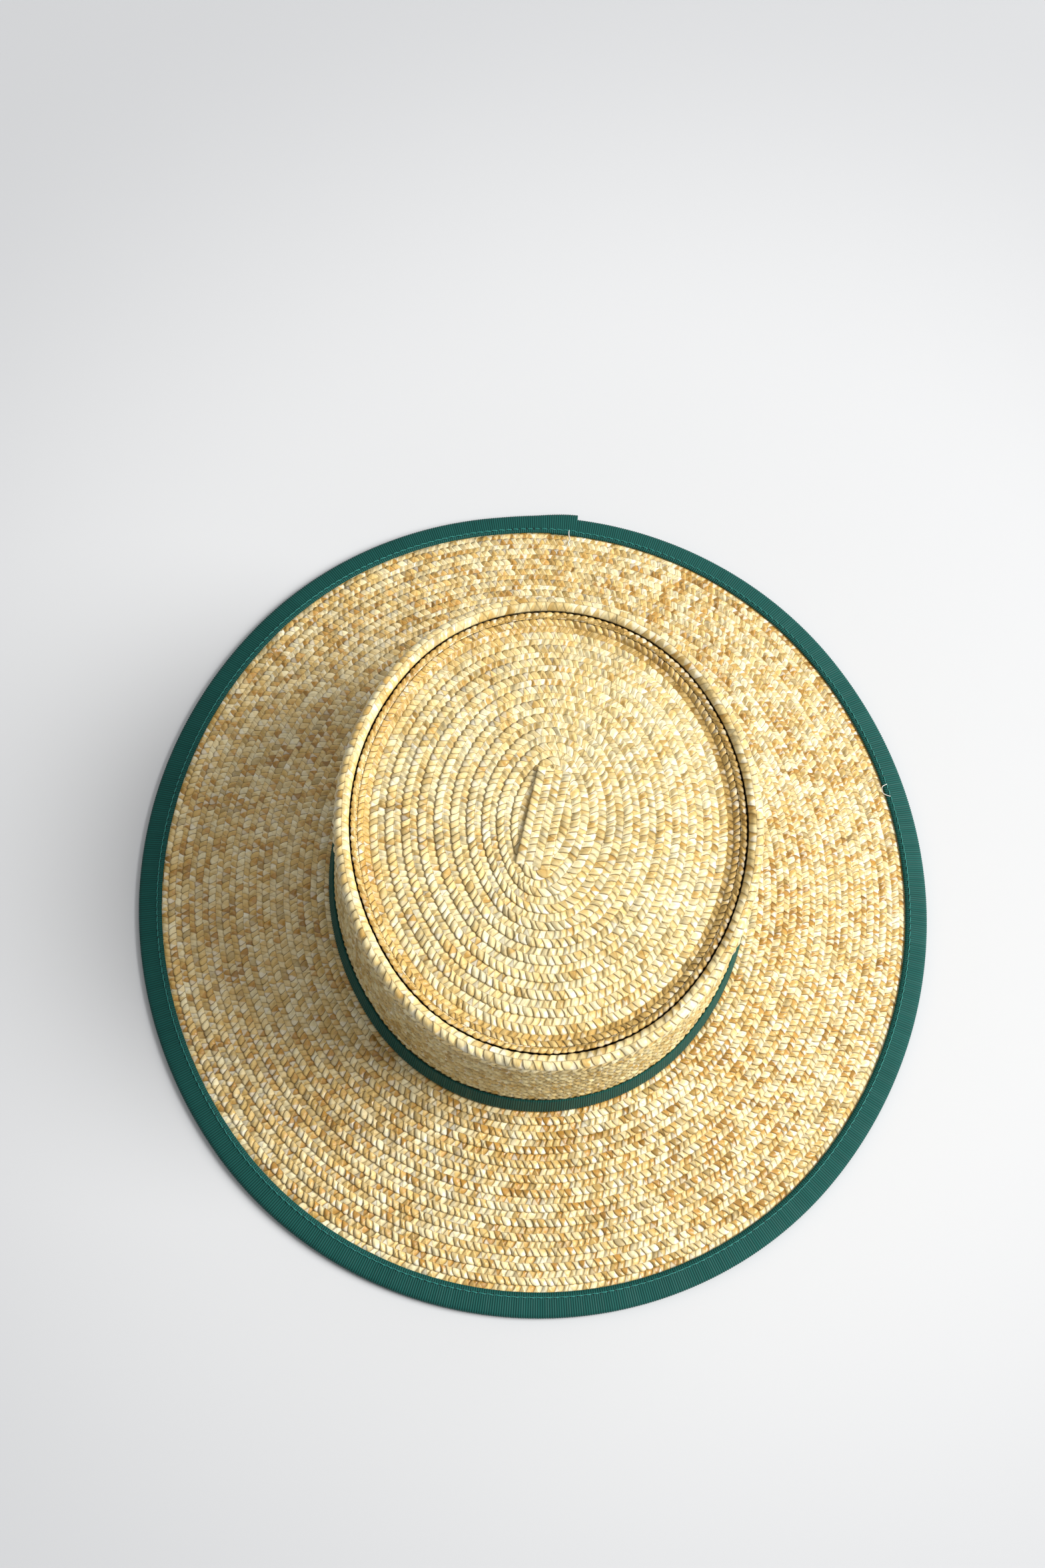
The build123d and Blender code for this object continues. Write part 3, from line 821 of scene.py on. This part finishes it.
def sweatband():
    """The ribbon inside the head opening."""
    low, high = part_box("sweatband")
    wall = STRAW + 0.6 * MM
    bottom = (crown_u - wall, low.z)
    course = Course([bottom, (foot_top[0] - wall, foot_top[1]), (foot_top[0] - wall - 0.4 * MM, high.z)])
    reaches = np.linspace(0, course.length, 16)
    cloth = ribbon(course, reaches, SWEATBAND, SWEATBAND_LAP_ANGLE, crown_u - wall)
    made = piece("sweatband_ribbon", [cloth], sweatband_cloth, "sweatband_ribbon", "sweatband")
    flat = (course.length, girth(crown_u - wall) + LAP)
    stitches = seam(course, 3 * MM, 0.5 * MM, 4 * MM)
    piece("sweatband_stitches", [stitches], straw_thread, "straw_thread", "sweatband_thread")


def row_stitching():
    """The thread that sews row to row, on the brim's underside and inside the crown."""
    def seams(course, count, chosen):
        pitch = course.length / count
        return [seam(course, (k + 0.5) * pitch, STRAW - 0.1 * MM, ROW_STITCH, ROW_THREAD, -1, LONG_PARTS)
                for k in chosen]

    under = seams(brim_course, BRIM_ROWS, range(BRIM_ROWS))
    piece("brim_row_stitches", under, straw_thread, "straw_thread", "brim_row_stitching")
    # The rows behind the sweatband and under the start strip are left out
    inside = seams(tip_course, TIP_ROWS, range(1, TIP_ROWS))
    inside += seams(side_course, SIDE_ROWS, range(SIDE_ROWS - 5))
    piece("crown_row_stitches", inside, straw_thread, "straw_thread", "crown_row_stitching")


def loose_end(route, thick=0.5 * MM):
    """A cut end of basting thread that lies on the brim, through points (u, degrees, height) in
    millimetres."""
    line = bpy.data.curves.new("loose_end", "CURVE")
    line.dimensions = "3D"
    line.bevel_depth, line.bevel_resolution, line.use_fill_caps = thick / 2, 1, True
    spline = line.splines.new("NURBS")
    spline.points.add(len(route) - 1)
    for point, (u, degrees, height) in zip(spline.points, route):
        x, y = on_oval(np.array(u * MM), math.radians(degrees))
        z = brim_z - (u * MM - crown_u) * math.tan(SLOPE) + height * MM
        point.co = (float(x), float(y), z, 1)
    spline.order_u, spline.use_endpoint_u, spline.resolution_u = 3, True, 5
    maker = bpy.data.objects.new("loose_end", line)
    mesh = bpy.data.meshes.new_from_object(maker)
    thread = bmesh.new()
    thread.from_mesh(mesh)
    bpy.data.objects.remove(maker)
    bpy.data.meshes.remove(mesh)
    return thread


def loose_ends():
    """Two bits of white basting thread left at the binding's inner edge."""
    at_lap = loose_end([
        (156.2, 87.2, 1.2), (153.6, 87.3, 1.4), (151.0, 86.8, 0.9), (149.4, 87.3, 0.8), (147.4, 87.0, 0.7)])
    at_side = loose_end([
        (155.8, 18.7, 1.4), (153.2, 18.6, 1.7), (152.5, 17.9, 1.1), (153.0, 17.3, 1.0), (155.6, 16.9, 1.4),
    ], thick=0.35 * MM)
    piece("loose_thread_ends", [at_lap, at_side], white_thread, "straw_thread")


binding()
hatband()
sweatband()
row_stitching()
loose_ends()
shown_as_framed = {"brim_wire": wire_steel, "wire_joiner": sleeve_brass, "hatband_tacks": green_thread}
for node, finish in shown_as_framed.items():
    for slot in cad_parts[node].material_slots:
        slot.material = finish


# ---- Table, light and camera -----------------------------------------------------------------------

def table():
    """The sheet that the hat stands on."""
    cloth = bmesh.new()
    bmesh.ops.create_grid(cloth, x_segments=8, y_segments=8, size=6.0)
    mesh = bpy.data.meshes.new("table_sheet")
    cloth.to_mesh(mesh)
    cloth.free()
    sheet = bpy.data.objects.new("table_sheet", mesh)
    bpy.context.scene.collection.objects.link(sheet)
    mesh.materials.append(table_finish())


def soft_light(name, place, aim, size, energy, colour=(1, 1, 1)):
    """A large round lamp at a place, aimed at another."""
    data = bpy.data.lights.new(name, "AREA")
    data.shape, data.size, data.energy, data.color = "DISK", size, energy, colour
    lamp = bpy.data.objects.new(name, data)
    bpy.context.scene.collection.objects.link(lamp)
    lamp.location = place
    lamp.rotation_euler = (Vector(aim) - Vector(place)).to_track_quat("-Z", "Y").to_euler()


def camera():
    """Looks down on the hat from its front."""
    eye = Vector((-0.0503, -0.3825, 1.0882))
    forward = Vector((0.0361, 0.3703, -0.9282))
    up_hint = Vector((-0.0613, 0.9279, 0.3677))
    right = forward.cross(up_hint).normalized()
    up = right.cross(forward).normalized()
    data = bpy.data.cameras.new("camera")
    data.lens, data.sensor_width, data.sensor_fit = 61.18, 36.0, "AUTO"
    made = bpy.data.objects.new("camera", data)
    bpy.context.scene.collection.objects.link(made)
    made.matrix_world = Matrix.Translation(eye) @ Matrix((right, up, -forward)).transposed().to_4x4()
    bpy.context.scene.camera = made


table()
camera()
soft_light("window", (3.9, -0.2, 3.2), (0, 0, 0.05), 3.3, 415, (1.0, 0.985, 0.95))
soft_light("ceiling", (0.1, -0.2, 2.4), (0, 0, 0), 2.4, 8)
soft_light("back_wall", (0.5, 2.7, 2.2), (0, 0, 0), 2.2, 12)
world = bpy.data.worlds.new("room")
bpy.context.scene.world = world
world.use_nodes = True
background = world.node_tree.nodes["Background"]
background.inputs["Color"].default_value = (1.0, 0.985, 0.95, 1)
background.inputs["Strength"].default_value = 0.30
bpy.context.scene.view_settings.view_transform = "Standard"
